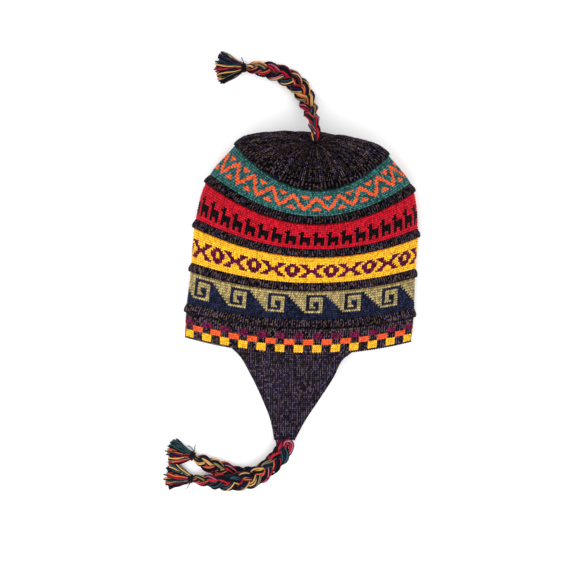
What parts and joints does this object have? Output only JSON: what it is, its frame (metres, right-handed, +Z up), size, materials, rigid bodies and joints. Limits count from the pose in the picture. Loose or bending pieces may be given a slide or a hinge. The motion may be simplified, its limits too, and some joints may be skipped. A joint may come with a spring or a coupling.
{
  "type": "chullo hat",
  "caption": "Knitted wool chullo hat with patterned bands, rolled welts, ear flaps and braided cords with tassels, lying on its side. Worn to keep the head and ears warm.",
  "frame": {"origin": "on the surface that the hat lies on, under the middle of the hat and its flaps", "axes": "+Z up from the surface, +Y from the ear flaps to the crown, +X to the right of a viewer who looks down with the crown at the top"},
  "size_m": [0.3008, 0.521, 0.101],
  "materials": {
    "dark_marl": "knitted wool",
    "teal_yarn": "knitted wool",
    "red_yarn": "knitted wool",
    "yellow_yarn": "knitted wool",
    "olive_yarn": "knitted wool",
    "mixed_yarn": "knitted wool"
  },
  "bodies": {
    "root": {"crown": "dark_marl", "welt_1": "dark_marl", "teal_band": "teal_yarn", "welt_2": "dark_marl", "red_band": "red_yarn", "welt_3": "dark_marl", "yellow_band": "yellow_yarn", "welt_4": "dark_marl", "olive_band": "olive_yarn", "welt_5": "dark_marl", "brim_band": "dark_marl", "upper_ear_flap": "dark_marl", "lower_ear_flap": "dark_marl", "top_braid": "mixed_yarn", "top_tassel": "mixed_yarn", "upper_flap_braid": "mixed_yarn", "upper_flap_tassel": "mixed_yarn", "lower_flap_braid": "mixed_yarn", "lower_flap_tassel": "mixed_yarn"}
  },
  "joints": []
}
